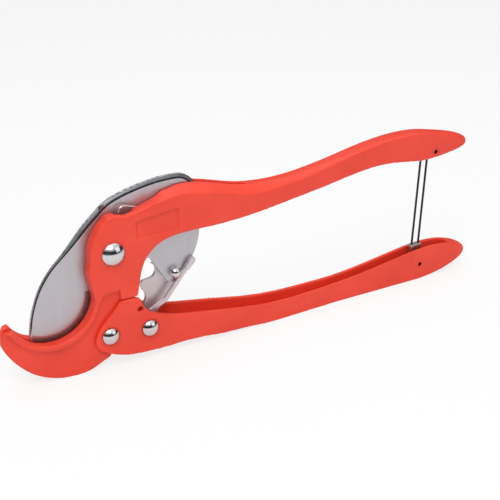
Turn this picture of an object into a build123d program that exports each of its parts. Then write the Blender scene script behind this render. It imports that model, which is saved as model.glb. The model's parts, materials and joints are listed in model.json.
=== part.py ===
"""Ratchet shear for plastic pipe, standing on its jaw and lower handle, closed and locked by its wire bail.

Long axis along X with the jaw at -X, thickness along Y with the side in view at -Y, and +Z up.
Outlines are drawn about the blade's pivot, with X to the right and Z up.
"""

from build123d import *
import os
from math import cos, sin, radians, degrees, atan2, hypot

# Overall stance, in millimetres from the blade's pivot
JAW_REACH = 90.5
HANDLE_REACH = 358.5
PIVOT_HEIGHT = 98.5

# Half widths and walls of the castings across Y
BODY_HALF = 13.0
GRIP_HALF = 8.2
LIP_HALF = 12.5
WEB_HALF = 9.2
WEB_TIP_HALF = 5.0
LIP_TIP_HALF = 7.8
CAVITY_HALF = 6.6
CHEEK_INNER = 9.6
EYE_HALF = 8.6
GRIP_WALL = 3.0
GRIP_ROOF = 3.6
GRIP_FLOOR = 3.0
TAPER_START = 95.0
TAPER_END = 215.0

# Joint centres about the blade's pivot
HINGE_X, HINGE_Z = -6.2, -69.2
DRIVE_X, DRIVE_Z = 27.6, -71.1
RIVET_X, RIVET_Z = 55.5, -32.5
BAIL_X, BAIL_Z = 312.5, 24.8
CATCH_X = 303.8
CATCH_RISE = 14.9

# Pipe cradle
CRADLE_X, CRADLE_Z = -51.0, -31.0
SEAT_R = 34.5
LIP_THICK = 4.5
LIP_END_DEG = 207.0

# Blade
BLADE_THICK = 4.0
BLADE_PLAY = 0.6
EDGE_BITE = 4.1
SLOT_BITE = 2.0
EDGE_GROUND = 9.0
EDGE_FLAT = 0.4
TANG_BOSS_R = 9.0

# Pivot stack
PIVOT_R = 5.0
SLEEVE_R = 7.0
SPACER_R = 9.2
FIT = 0.05
MAIN_HEAD_R = 9.7
MAIN_HEAD_H = 6.0
HANDLE_HEAD_R = 7.2
HANDLE_HEAD_H = 4.8
HEAD_RIM = 1.2
THREAD_END = 5.8
CROWN_SHARE = 0.3
NUT_R = 9.4
NUT_HEIGHT = 5.0
SMALL_NUT_R = 7.4
SMALL_NUT_HEIGHT = 4.0
HINGE_R = 4.0
BUSH_R = 6.0
EYE_R = 12.5
WASHER_PLAY = 0.1
HINGE_WASHER_R = 9.5
DRIVE_R = 3.0
ROLLER_R = 4.5
ROLLER_PLAY = 0.3

# Link and release bar
LINK_NEAR, LINK_FAR = 2.3, 5.3
BAR_NEAR, BAR_FAR = -5.2, -2.4
LINK_WASHER_R = 4.6
LINK_WASHER_THICK = 0.7
RIVET_R = 2.5
RIVET_HEAD_R = 3.9
RIVET_HEAD_H = 2.8
RIVET_TAIL_H = 1.5
RIVET_PLAY = 0.1
BRIDGE_R = 2.0
TAB_R = 5.4
TAB_THICK = 4.0

# Bail and cross pins
WIRE_R = 1.0
WIRE_FLATS = 8
CROSS_PIN_R = 2.0
PIN_BORE_R = 1.0
CROSS_PIN_SINK = 0.8
BAIL_PLAY = 0.4

# Blade spring
SPRING_WIRE_R = 0.7
SPRING_R = 10.5
SPRING_PITCH = 1.5
SPRING_TURNS = 1.75
SPRING_NEAR = 5.8
SPRING_STEP_DEG = 30
STUD_R = 1.5
STUD_LENGTH = 2.6
STUD_PLAY = 0.2

# Edge treatment
CROWN_FILLET = 4.5
SOFT_FILLET = 1.2

PIVOT_X = (JAW_REACH - HANDLE_REACH) / 2
FAR_REACH = 2 * HANDLE_REACH
CUT_HALF = 3 * BODY_HALF
HALF_PLATE = BLADE_THICK / 2
SLOT_HALF = HALF_PLATE + BLADE_PLAY
LIP_R = SEAT_R + LIP_THICK
EDGE_R = SEAT_R + EDGE_BITE
SLOT_REACH_R = LIP_R + SLOT_BITE
CATCH_Z = CATCH_RISE - PIVOT_HEIGHT


def side(y):
    """Sketch plane at depth y: its x is X, its y is Z, and it faces the near side, -Y."""
    return Plane(origin=(PIVOT_X, y, PIVOT_HEIGHT), x_dir=(1, 0, 0), z_dir=(0, -1, 0))


def plan(z):
    """Sketch plane seen from above, with X measured from the blade's pivot."""
    return Plane(origin=(PIVOT_X, 0, PIVOT_HEIGHT + z), x_dir=(1, 0, 0), z_dir=(0, 0, 1))


def on_circle(x, z, r, deg):
    return (x + r * cos(radians(deg)), z + r * sin(radians(deg)))


def axis_at(x, z):
    return Axis((PIVOT_X + x, 0, PIVOT_HEIGHT + z), (0, 1, 0))


def turned(x, z, deg=0):
    """Plane through the cross axis at (x, z): its x is the radius and its y is Y."""
    across = (cos(radians(deg)), 0, sin(radians(deg)))
    upward = (-sin(radians(deg)), 0, cos(radians(deg)))
    return Plane(origin=(PIVOT_X + x, 0, PIVOT_HEIGHT + z), x_dir=across, z_dir=upward)


def cross_bar(x, z, radius, y_low, y_high):
    """Round bar along Y, for pins and their bores."""
    with BuildPart() as bar:
        with BuildSketch(side(y_high)):
            with Locations((x, z)):
                Circle(radius)
        extrude(amount=y_high - y_low)
    return bar.part


def cross_ring(x, z, inner, outer, y_low, y_high):
    """Round tube along Y, for sleeves and washers."""
    with BuildPart() as ring:
        with BuildSketch(side(y_high)):
            with Locations((x, z)):
                Circle(outer)
                Circle(inner, mode=Mode.SUBTRACT)
        extrude(amount=y_high - y_low)
    return ring.part


def domed(x, z, radius, height, seat_y, sense, shank_r=0, shank_end=0):
    """Domed head on a seat at y = seat_y, with a shank along the cross axis to shank_end."""
    rim = seat_y + sense * HEAD_RIM
    crown = seat_y + sense * height
    ball_r = (radius**2 + (height - HEAD_RIM) ** 2) / (2 * (height - HEAD_RIM))
    half_arc = atan2(radius, ball_r - height + HEAD_RIM) / 2
    with BuildPart() as head:
        with BuildSketch(turned(x, z)):
            with BuildLine():
                flat = Line((0, seat_y), (radius, seat_y))
                edge = Line(flat @ 1, (radius, rim))
                Polyline(edge @ 1, (ball_r * sin(half_arc), crown - sense * ball_r * (1 - cos(half_arc))),
                         (radius * CROWN_SHARE, crown), (0, crown), (0, seat_y))
            make_face()
        revolve(axis=axis_at(x, z))
        if shank_r:
            add(cross_bar(x, z, shank_r, min(seat_y, shank_end), max(seat_y, shank_end)))
    return head.part


def hex_nut(x, z, radius, height, seat_y):
    """Six-sided nut on the far side, its corners taken off by a cone."""
    with BuildPart() as nut:
        with BuildSketch(side(seat_y + height)):
            with Locations((x, z)):
                RegularPolygon(radius, 6)
        extrude(amount=height)
        with BuildSketch(turned(x, z)):
            with BuildLine():
                Polyline((radius * 0.84, seat_y + height), (radius * 1.1, seat_y + height),
                         (radius * 1.1, seat_y + height * 0.7), close=True)
            make_face()
        revolve(axis=axis_at(x, z), mode=Mode.SUBTRACT)
    return nut.part


os.makedirs("parts", exist_ok=True)


def finish(piece, name):
    piece.part.label = name
    export_step(piece.part, f"parts/{name}.step")


# Frame casting: upper handle, side walls and hooked jaw
HANDLE_TOP = [(57, 42.2), (72, 42.0), (92, 37.5), (114, 31.8), (136, 29.2), (160, 29.4), (185, 32.4),
              (212, 36.9), (240, 42.0), (268, 45.2), (296, 45.0), (322, 40.2), (343, 33.6)]
HANDLE_UNDER = [(334, 23.2), (316, 19.8), (298, 19.0), (278, 21.2), (256, 23.0), (232, 21.2), (200, 16.0),
                (165, 11.4), (130, 7.0), (101, 5.0), (76, 4.8)]
NOSE_UP = (350.5, 30.2)
NOSE_TIP = (355.0, 26.6)
NOSE_LOW = (350.5, 23.6)
THROAT = [(60, 4.6), (48, 3.2), (38.5, 0), (31, -5.5), (26, -12), (22.8, -20), (20.8, -29), (19.6, -36)]
CROWN_LEFT = [(45, 39.6), (40.5, 36.4), (26, 31.6), (12, 28.4)]
FACE_FOOT_Z = -40.2
FACE_FOOT_X = 18.6
RECESS_X, RECESS_Z = 4.0, -31.5
FLANK = [(2, 30.5), (-9, 26.5), (-17, 18), (-21.6, 8), (-22.4, -3)]
FLANK_DEG = 29.5
JAW_BEAK = [(205, 0.2), (211.8, 7.5), (223.8, 11.6), (238.8, 16.0)]
JAW_UNDER = [(-68, -89), (-54, -96), (-42, -98.5)]
JAW_HEEL = [(-32, -98.5), (-22, -96.8), (-12.5, -92.6), (-6.2, -90.0)]
WEB_FRONT = [(-2, -84), (4.6, -78), (4.6, -63), (8, -52), (17, -44), (18.6, -36), (10, -20), (-12, -15)]
CHANNEL_LEFT = 62.0
CHANNEL_RIGHT = 338.0
SLOT_END_X = 122.0
CAVITY = [(-12, -12), (-2.5, -28), (-2.5, -54), (2, -58.5), (60, -58.5), (60, -20), (24, -4), (24, 13), (4, 14)]
HUB_POCKET_R = 14.5
NOTCH_WELL = [(5.5, 8), (13, 8), (25, 45), (4, 45)]


def strip_along(points, near_half, far_half):
    """Two side blocks, seen from above, that trim a casting to a width changing along X."""
    with BuildPart() as blocks:
        with BuildSketch(plan(-FAR_REACH / 2)):
            for flip in (1, -1):
                with BuildLine():
                    inner = [(points[0], flip * near_half), (points[1], flip * far_half)]
                    Polyline(*inner, (points[2], flip * far_half), (points[2], flip * CUT_HALF),
                             (points[0], flip * CUT_HALF), close=True)
                make_face()
        extrude(amount=FAR_REACH)
    return blocks.part


def channel(points, near_half, far_half):
    """Inside of a handle seen from above, from points[0] to points[2], narrowing after points[1]."""
    with BuildPart() as block:
        with BuildSketch(plan(-FAR_REACH / 2)):
            with BuildLine():
                Polyline((points[0], near_half), (points[1], near_half), (points[2], far_half), (points[3], far_half),
                         (points[3], -far_half), (points[2], -far_half), (points[1], -near_half),
                         (points[0], -near_half), close=True)
            make_face()
        extrude(amount=FAR_REACH)
    return block.part


with BuildPart() as frame_casting:
    with BuildSketch(side(0)):
        with BuildLine():
            top = Spline(*HANDLE_TOP, NOSE_UP)
            Spline(NOSE_UP, NOSE_TIP, NOSE_LOW, HANDLE_UNDER[0])
            under = Spline(*HANDLE_UNDER)
            throat = Spline(under @ 1, *THROAT)
            Polyline(throat @ 1, (FACE_FOOT_X, FACE_FOOT_Z), (RECESS_X, FACE_FOOT_Z), (RECESS_X, RECESS_Z),
                     on_circle(CRADLE_X, CRADLE_Z, LIP_R + 2, -3), on_circle(CRADLE_X, CRADLE_Z, LIP_R, -10),
                     on_circle(CRADLE_X, CRADLE_Z, LIP_R - 1, -20), on_circle(CRADLE_X, CRADLE_Z, SEAT_R, -8),
                     on_circle(CRADLE_X, CRADLE_Z, SEAT_R, FLANK_DEG))
            flank = Spline(on_circle(CRADLE_X, CRADLE_Z, SEAT_R, FLANK_DEG), *reversed(FLANK))
            Polyline(flank @ 1, *reversed(CROWN_LEFT), HANDLE_TOP[0])
        make_face()
    extrude(amount=BODY_HALF, both=True)
    with BuildSketch(side(0)):
        with BuildLine():
            CenterArc((CRADLE_X, CRADLE_Z), SEAT_R, LIP_END_DEG, 360 - LIP_END_DEG + 3)
            lip_low = CenterArc((CRADLE_X, CRADLE_Z), LIP_R, LIP_END_DEG, 360 - LIP_END_DEG + 3)
            Line(on_circle(CRADLE_X, CRADLE_Z, SEAT_R, LIP_END_DEG), lip_low @ 0)
            Line(on_circle(CRADLE_X, CRADLE_Z, SEAT_R, 3), lip_low @ 1)
        make_face()
    extrude(amount=LIP_HALF, both=True)

    # Slim web of the jaw and the eye that carries the lower handle
    with BuildSketch(side(0)):
        with BuildLine():
            seat = CenterArc((CRADLE_X, CRADLE_Z), SEAT_R + 1, LIP_END_DEG + 2, 350 - LIP_END_DEG - 2)
            beak = [on_circle(CRADLE_X, CRADLE_Z, LIP_R + depth, deg) for deg, depth in JAW_BEAK]
            Line(seat @ 0, beak[0])
            under_jaw = Spline(*beak, *JAW_UNDER, *JAW_HEEL)
            Polyline(under_jaw @ 1, *WEB_FRONT, seat @ 1)
        make_face()
        with Locations((HINGE_X, HINGE_Z)):
            Circle(EYE_R)
    extrude(amount=WEB_HALF, both=True)
    split(bisect_by=Plane.XY, keep=Keep.TOP)

    # The jaw thins towards its tip, the lip staying wider than the web
    web_trim = strip_along((-30, -JAW_REACH, -JAW_REACH - 5), WEB_HALF, WEB_TIP_HALF)
    with BuildSketch(side(0)):
        with BuildLine():
            Polyline((-FAR_REACH, -FAR_REACH), (0, -FAR_REACH), (0, -85), (-14, -62), (-8, -33), (-30, -20),
                     (-FAR_REACH, -20), close=True)
        make_face()
        with Locations((CRADLE_X, CRADLE_Z)):
            Circle(LIP_R, mode=Mode.SUBTRACT)
    web_zone = extrude(amount=CUT_HALF, both=True, mode=Mode.PRIVATE)
    add(web_trim & web_zone, mode=Mode.SUBTRACT)
    add(strip_along((-48, -JAW_REACH, -JAW_REACH - 5), LIP_HALF, LIP_TIP_HALF), mode=Mode.SUBTRACT)
    add(strip_along((TAPER_START, TAPER_END, HANDLE_REACH + 9), BODY_HALF, GRIP_HALF), mode=Mode.SUBTRACT)

    # Handle channel, open underneath
    with BuildSketch(side(0)):
        with BuildLine():
            roof = Spline(*[(x, z - GRIP_ROOF) for x, z in HANDLE_TOP[1:-1]])
            Polyline(roof @ 1, (CHANNEL_RIGHT, 31.5), (CHANNEL_RIGHT, 0), (CHANNEL_LEFT, -20),
                     (CHANNEL_LEFT, 34), roof @ 0)
        make_face()
    hollow = extrude(amount=CUT_HALF, both=True, mode=Mode.PRIVATE)
    lane = channel((CHANNEL_LEFT, TAPER_START, TAPER_END, CHANNEL_RIGHT), BODY_HALF - GRIP_WALL,
                   GRIP_HALF - GRIP_WALL)
    add(hollow & lane, mode=Mode.SUBTRACT)

    # Blade slot through the body and the lip
    with BuildSketch(side(0)):
        with BuildLine():
            Polyline((-70, -16), (-12, -19), (5, -19), (9, -45), (9, -57), (SLOT_END_X, -57), (SLOT_END_X, 60),
                     (-70, 60), close=True)
        make_face()
        with Locations((CRADLE_X, CRADLE_Z)):
            Circle(SLOT_REACH_R)
    extrude(amount=SLOT_HALF, both=True, mode=Mode.SUBTRACT)
    with BuildSketch(side(0)):
        with BuildLine():
            Polyline(*CAVITY, close=True)
        make_face()
        Circle(HUB_POCKET_R)
    extrude(amount=CAVITY_HALF, both=True, mode=Mode.SUBTRACT)
    with BuildSketch(side(0)):
        with BuildLine():
            Polyline(*NOTCH_WELL, close=True)
        make_face()
    extrude(amount=CAVITY_HALF, mode=Mode.SUBTRACT)

    # Bores
    add(cross_bar(0, 0, PIVOT_R, -BODY_HALF, BODY_HALF), mode=Mode.SUBTRACT)
    add(cross_bar(HINGE_X, HINGE_Z, BUSH_R, -WEB_HALF, WEB_HALF), mode=Mode.SUBTRACT)
    for flip in (1, -1):
        low, high = sorted((flip * EYE_HALF, flip * WEB_HALF))
        add(cross_bar(HINGE_X, HINGE_Z, HINGE_WASHER_R, low, high), mode=Mode.SUBTRACT)
    add(cross_bar(BAIL_X, BAIL_Z, CROSS_PIN_R, -BODY_HALF, BODY_HALF), mode=Mode.SUBTRACT)
finish(frame_casting, "frame_casting")

# Blade plate with its tang
BLADE_TIP = (-66.4, -66.4)
SPINE = [(-65.6, -47.4), (-62.4, -35.0), (-56.6, -21.2), (-47.0, -7.7), (-35.2, 4.4), (-21.1, 20.2),
         (-8.4, 31.9), (-1.5, 37.4)]
CREST = [(17.7, 45), (36.9, 48.9), (55, 50.2), (65.8, 48.8), (71.8, 45.2), (75.5, 41.0)]
TANG_RIGHT = [(78.2, 22), (78.8, -1.2), (71.6, -23.0)]
TANG_LEFT = [(48.6, -38.4), (34.5, -15.5), (20, -12.5), (0, -14)]
EDGE_START_DEG = 246.6
EDGE_END_DEG = 379.0
BEVEL_FADE_DEG = 360.0
SPINE_BEVEL = 1.4

with BuildPart() as blade:
    with BuildSketch(side(-HALF_PLATE)):
        with BuildLine():
            edge = CenterArc((CRADLE_X, CRADLE_Z), EDGE_R, EDGE_START_DEG, EDGE_END_DEG - EDGE_START_DEG)
            spine = Spline(edge @ 0, *SPINE, *CREST)
            right = Spline(CREST[-1], *TANG_RIGHT)
            boss_in = on_circle(RIVET_X, RIVET_Z, TANG_BOSS_R, 20)
            Line(right @ 1, boss_in)
            boss = ThreePointArc(boss_in, on_circle(RIVET_X, RIVET_Z, TANG_BOSS_R, -80), TANG_LEFT[0])
            Polyline(TANG_LEFT[0], *TANG_LEFT[1:], edge @ 1)
        make_face()
        with Locations((RIVET_X, RIVET_Z)):
            Circle(TANG_BOSS_R)
    extrude(amount=-BLADE_THICK)
    add(cross_bar(0, 0, SLEEVE_R + FIT, -HALF_PLATE, HALF_PLATE), mode=Mode.SUBTRACT)
    add(cross_bar(RIVET_X, RIVET_Z, RIVET_R, -HALF_PLATE, HALF_PLATE), mode=Mode.SUBTRACT)
    for flip in (1, -1):
        with BuildSketch(turned(CRADLE_X, CRADLE_Z, EDGE_START_DEG - 5)):
            with BuildLine():
                Polyline((EDGE_R - EDGE_GROUND, flip * HALF_PLATE), (EDGE_R, flip * EDGE_FLAT / 2),
                         (EDGE_R + 2, flip * EDGE_FLAT / 2), (EDGE_R + 2, flip * (HALF_PLATE + 1)),
                         (EDGE_R - EDGE_GROUND, flip * (HALF_PLATE + 1)), close=True)
            make_face()
        revolve(axis=Axis((PIVOT_X + CRADLE_X, 0, PIVOT_HEIGHT + CRADLE_Z), (0, -1, 0)),
                revolution_arc=BEVEL_FADE_DEG - EDGE_START_DEG + 5, mode=Mode.SUBTRACT)
finish(blade, "blade")

# Pivot stack in the frame
with BuildPart() as pivot_bolt:
    add(domed(0, 0, MAIN_HEAD_R, MAIN_HEAD_H, -BODY_HALF, -1, PIVOT_R, BODY_HALF + THREAD_END))
finish(pivot_bolt, "pivot_bolt")

with BuildPart() as pivot_nut:
    add(hex_nut(0, 0, NUT_R, NUT_HEIGHT, BODY_HALF))
    add(pivot_bolt.part, mode=Mode.SUBTRACT)
finish(pivot_nut, "pivot_nut")

with BuildPart() as pivot_sleeve:
    add(cross_ring(0, 0, PIVOT_R, SLEEVE_R, -CAVITY_HALF, CAVITY_HALF))
finish(pivot_sleeve, "pivot_sleeve")

with BuildPart() as spacer_near:
    add(cross_ring(0, 0, SLEEVE_R, SPACER_R, -CAVITY_HALF, -HALF_PLATE - WASHER_PLAY))
finish(spacer_near, "spacer_near")

with BuildPart() as spacer_far:
    add(cross_ring(0, 0, SLEEVE_R, SPACER_R, HALF_PLATE + WASHER_PLAY, CAVITY_HALF))
finish(spacer_far, "spacer_far")

# Blade spring: one end curls out of the body, the other bears on a stud in the blade
CURL = [(10.2, 18), (9.0, 28), (7.8, 32.2), (9.4, 36), (13.6, 37), (22.4, 34.0)]
REST_LEG = 17.4
STUD_X = 15.6
SPRING_FAR = SPRING_NEAR - SPRING_PITCH * SPRING_TURNS

with BuildPart() as blade_return_spring:
    with BuildLine(Plane.XY):
        coil_steps = round(SPRING_TURNS * 360 / SPRING_STEP_DEG)
        curl_path = [(PIVOT_X + x, -SPRING_NEAR, PIVOT_HEIGHT + z) for x, z in reversed(CURL)]
        coil_path = []
        for step in range(coil_steps + 1):
            turn = -step * SPRING_STEP_DEG
            lead = SPRING_NEAR - SPRING_PITCH * step * SPRING_STEP_DEG / 360
            coil_path.append((PIVOT_X + SPRING_R * cos(radians(turn)), -lead,
                              PIVOT_HEIGHT + SPRING_R * sin(radians(turn))))
        leg_path = [(PIVOT_X + x, -SPRING_FAR, PIVOT_HEIGHT + SPRING_R) for x in (REST_LEG / 2, REST_LEG)]
        spring_line = Spline(*curl_path, *coil_path, *leg_path)
    with BuildSketch(Plane(origin=spring_line @ 0, z_dir=spring_line % 0)):
        RegularPolygon(SPRING_WIRE_R, WIRE_FLATS)
    sweep(path=spring_line)
finish(blade_return_spring, "blade_return_spring")

with BuildPart() as spring_stud:
    stud_z = SPRING_R - SPRING_WIRE_R - STUD_R - STUD_PLAY
    add(cross_bar(STUD_X, stud_z, STUD_R, -HALF_PLATE - STUD_LENGTH, -HALF_PLATE))
finish(spring_stud, "spring_stud")

# Lower handle: cheeks round the eye and a channel open on top
CHEEK_TOP = [(-18.2, -70), (-15.5, -63.5), (-10.9, -57.6), (-6.4, -53.1), (-1.4, -47.8), (2.2, -43.6)]
CHEEK_PEAK = [(4.4, -41.2), (16.4, -41.0), (20, -42.6), (21.8, -45.8)]
LOWER_TOP = [(24.2, -52), (30.6, -57.8), (41.8, -62.6), (65.8, -68.0), (91.8, -72.4), (122, -77.6), (150, -80.3),
             (184, -80.3), (219, -78.8), (251, -75.2), (280, -70.8), (304, -67.8), (330, -68.2), (348, -72.0)]
LOWER_NOSE = [(357.5, -78.6), (358.4, -83.2), (350, -88.2), (338, -92.6)]
LOWER_HEEL = (322, -96.4)
LOWER_FLAT_END = 304.0
LOWER_FLAT_START = 122.0
LOWER_BOTTOM = [(93.6, -98.0), (62, -97.0), (34.4, -95.4), (12, -91.6), (-4, -86.6), (-13.5, -81.6)]
CHEEK_BACK = [(-16.6, -78.4), (-18.2, -74.5)]
CHEEK_HOLE_X, CHEEK_HOLE_Z, CHEEK_HOLE_R = 20.2, -52.5, 1.7

with BuildPart() as lower_handle:
    with BuildSketch(side(0)):
        with BuildLine():
            brow = Spline(*CHEEK_TOP)
            Polyline(brow @ 1, *CHEEK_PEAK)
            upper = Spline(CHEEK_PEAK[-1], *LOWER_TOP)
            lower_nose = Spline(upper @ 1, *LOWER_NOSE, LOWER_HEEL, (LOWER_FLAT_END, -PIVOT_HEIGHT))
            flat = Line(lower_nose @ 1, (LOWER_FLAT_START, -PIVOT_HEIGHT))
            belly = Spline(flat @ 1, *LOWER_BOTTOM)
            Spline(belly @ 1, *CHEEK_BACK, brow @ 0)
        make_face()
    extrude(amount=BODY_HALF, both=True)
    add(strip_along((TAPER_START, TAPER_END, HANDLE_REACH + 9), BODY_HALF, GRIP_HALF), mode=Mode.SUBTRACT)
    with BuildSketch(side(0)):
        with BuildLine():
            floor_run = [*reversed(LOWER_BOTTOM[:4]), (LOWER_FLAT_START, -PIVOT_HEIGHT),
                         (LOWER_FLAT_END, -PIVOT_HEIGHT), LOWER_HEEL]
            floor = Polyline(*[(x, z + GRIP_FLOOR) for x, z in floor_run], (CHANNEL_RIGHT, LOWER_NOSE[-1][1] + 4),
                             (CHANNEL_RIGHT, 0), (-JAW_REACH, 0), (-JAW_REACH, -FAR_REACH),
                             (LOWER_BOTTOM[3][0], -FAR_REACH), close=True)
        make_face()
    trough = extrude(amount=CUT_HALF, both=True, mode=Mode.PRIVATE)
    inside = channel((-JAW_REACH, TAPER_START, TAPER_END, CHANNEL_RIGHT), CHEEK_INNER, GRIP_HALF - GRIP_WALL)
    add(trough & inside, mode=Mode.SUBTRACT)
    add(cross_bar(HINGE_X, HINGE_Z, HINGE_R, -BODY_HALF, BODY_HALF), mode=Mode.SUBTRACT)
    add(cross_bar(DRIVE_X, DRIVE_Z, DRIVE_R, -BODY_HALF, BODY_HALF), mode=Mode.SUBTRACT)
    add(cross_bar(CATCH_X, CATCH_Z, CROSS_PIN_R, -BODY_HALF, BODY_HALF), mode=Mode.SUBTRACT)
    add(cross_bar(CHEEK_HOLE_X, CHEEK_HOLE_Z, CHEEK_HOLE_R, -BODY_HALF, BODY_HALF), mode=Mode.SUBTRACT)
finish(lower_handle, "lower_handle")

# Handle hinge: bush and washers in the frame's eye, bolt and nut in the cheeks
with BuildPart() as hinge_bolt:
    add(domed(HINGE_X, HINGE_Z, HANDLE_HEAD_R, HANDLE_HEAD_H, -BODY_HALF, -1, HINGE_R, BODY_HALF + THREAD_END))
finish(hinge_bolt, "hinge_bolt")

with BuildPart() as hinge_nut:
    add(hex_nut(HINGE_X, HINGE_Z, SMALL_NUT_R, SMALL_NUT_HEIGHT, BODY_HALF))
    add(hinge_bolt.part, mode=Mode.SUBTRACT)
finish(hinge_nut, "hinge_nut")

with BuildPart() as hinge_bush:
    add(cross_ring(HINGE_X, HINGE_Z, HINGE_R + FIT, BUSH_R, -EYE_HALF, EYE_HALF))
finish(hinge_bush, "hinge_bush")

with BuildPart() as hinge_washer_near:
    add(cross_ring(HINGE_X, HINGE_Z, HINGE_R + FIT, HINGE_WASHER_R, WASHER_PLAY - CHEEK_INNER, -EYE_HALF))
finish(hinge_washer_near, "hinge_washer_near")

with BuildPart() as hinge_washer_far:
    add(cross_ring(HINGE_X, HINGE_Z, HINGE_R + FIT, HINGE_WASHER_R, EYE_HALF, CHEEK_INNER - WASHER_PLAY))
finish(hinge_washer_far, "hinge_washer_far")

# Drive pin of the lower handle, with the roller that the link's notch rests on
with BuildPart() as drive_pin:
    add(domed(DRIVE_X, DRIVE_Z, HANDLE_HEAD_R, HANDLE_HEAD_H, -BODY_HALF, -1, DRIVE_R, BODY_HALF + THREAD_END))
finish(drive_pin, "drive_pin")

with BuildPart() as drive_pin_nut:
    add(hex_nut(DRIVE_X, DRIVE_Z, SMALL_NUT_R, SMALL_NUT_HEIGHT, BODY_HALF))
    add(drive_pin.part, mode=Mode.SUBTRACT)
finish(drive_pin_nut, "drive_pin_nut")

with BuildPart() as drive_roller:
    roller_half = CHEEK_INNER - ROLLER_PLAY
    add(cross_ring(DRIVE_X, DRIVE_Z, DRIVE_R + FIT, ROLLER_R, -roller_half, roller_half))
finish(drive_roller, "drive_roller")

# Ratchet link behind the tang: two notches above the seat that rests on the roller
BRIDGE_X, BRIDGE_Z = RIVET_X - 18.8, RIVET_Z - 36.5
LINK_BOSS_R = 8.0
NOTCH_R = 8.3
SEAT_NOTCH_R = 4.9
LINK_RISE = [(-14.9, 9.6)]
LINK_EDGE = [(-25.5, -3.9), (-28.3, -5.6), (-28.0, -7.5), (-27.0, -10)]
LINK_FOOT = [(-21.5, -44.0), (-18.0, -44.5), (-15.5, -38), (-12, -31), (-5.6, -25.1), (2.1, -11.6)]


def from_rivet(points):
    return [(RIVET_X + x, RIVET_Z + z) for x, z in points]


with BuildPart() as ratchet_link:
    with BuildSketch(side(LINK_FAR)):
        with BuildLine():
            boss_arc = CenterArc((RIVET_X, RIVET_Z), LINK_BOSS_R, -50, 200)
            shoulder = CenterArc((RIVET_X - 21.5, RIVET_Z + 3.3), 7.2, 60, -120)
            notch = CenterArc((RIVET_X - 32, RIVET_Z - 18.5), NOTCH_R, 45, -90)
            seat_notch = CenterArc((DRIVE_X, DRIVE_Z), SEAT_NOTCH_R, 55, -80)
            Polyline(boss_arc @ 1, *from_rivet(LINK_RISE), shoulder @ 0)
            Polyline(shoulder @ 1, *from_rivet(LINK_EDGE), notch @ 0)
            Line(notch @ 1, seat_notch @ 0)
            Polyline(seat_notch @ 1, *from_rivet(LINK_FOOT), boss_arc @ 0)
        make_face()
    extrude(amount=LINK_FAR - LINK_NEAR)
    add(cross_bar(RIVET_X, RIVET_Z, RIVET_R + FIT, LINK_NEAR, LINK_FAR), mode=Mode.SUBTRACT)
    add(cross_bar(BRIDGE_X, BRIDGE_Z, BRIDGE_R, LINK_NEAR, LINK_FAR), mode=Mode.SUBTRACT)
finish(ratchet_link, "ratchet_link")

# Release bar in front of the tang, with its thumb tab
BAR_LEFT = [(-7.2, -5), (-16.4, -24), (-23.2, -33.6)]
BAR_FOOT = [(-22.4, -41), (-15.4, -42.4), (-12.2, -33), (-4.6, -24.4)]
BAR_RIGHT = [(5.6, -8.0)]
TAB_X, TAB_Z = RIVET_X + 14.5, RIVET_Z + 5.6

with BuildPart() as release_bar:
    with BuildSketch(side(BAR_FAR)):
        with BuildLine():
            Polyline(*from_rivet(BAR_LEFT), *from_rivet(BAR_FOOT), *from_rivet(BAR_RIGHT), from_rivet([(17, 1.0)])[0],
                     from_rivet([(12, 10.4)])[0], from_rivet([(-3.0, 7.0)])[0], close=True)
        make_face()
        with Locations((TAB_X, TAB_Z)):
            Circle(TAB_R)
    extrude(amount=BAR_FAR - BAR_NEAR)
    with BuildSketch(side(BAR_NEAR)):
        with Locations((TAB_X, TAB_Z)):
            Circle(TAB_R)
    extrude(amount=TAB_THICK + BAR_NEAR - BAR_FAR)
    add(cross_bar(RIVET_X, RIVET_Z, RIVET_R + FIT, BAR_NEAR, BAR_FAR), mode=Mode.SUBTRACT)
    add(cross_bar(BRIDGE_X, BRIDGE_Z, BRIDGE_R, BAR_NEAR, BAR_FAR), mode=Mode.SUBTRACT)
finish(release_bar, "release_bar")

with BuildPart() as link_bridge:
    add(cross_bar(BRIDGE_X, BRIDGE_Z, BRIDGE_R, BAR_NEAR, LINK_FAR))
    add(cross_bar(BRIDGE_X, BRIDGE_Z, BRIDGE_R + 0.8, BAR_FAR, LINK_NEAR))
finish(link_bridge, "link_bridge")

washer_near_y = BAR_NEAR - LINK_WASHER_THICK
with BuildPart() as link_washer:
    add(cross_ring(RIVET_X, RIVET_Z, RIVET_R + FIT, LINK_WASHER_R, washer_near_y, BAR_NEAR))
finish(link_washer, "link_washer")

with BuildPart() as link_rivet:
    add(domed(RIVET_X, RIVET_Z, RIVET_HEAD_R, RIVET_HEAD_H, washer_near_y - RIVET_PLAY, -1, RIVET_R,
              LINK_FAR + RIVET_PLAY))
    add(domed(RIVET_X, RIVET_Z, RIVET_HEAD_R, RIVET_TAIL_H, LINK_FAR + RIVET_PLAY, 1))
finish(link_rivet, "link_rivet")

# Wire bail: hangs on a hollow pin in the upper handle and hooks under one in the lower
LOOP_R = CROSS_PIN_R + BAIL_PLAY + WIRE_R
LEFT_FOOT_X, LEFT_TOP_X = 298.3, 302.5
RIGHT_FOOT_X, RIGHT_TOP_X = 305.7, 309.3
foot_z = CATCH_Z + 11.6
CLIP_LEFT, CLIP_RIGHT = 295.6, 309.0
CLIP_TOP, CLIP_FOOT = CATCH_Z + 21.6, CATCH_Z + 7.6
CLIP_HALF = 3.4
HOOK_THICK = 1.8
HOOK_TIP_X = 306.6

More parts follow.
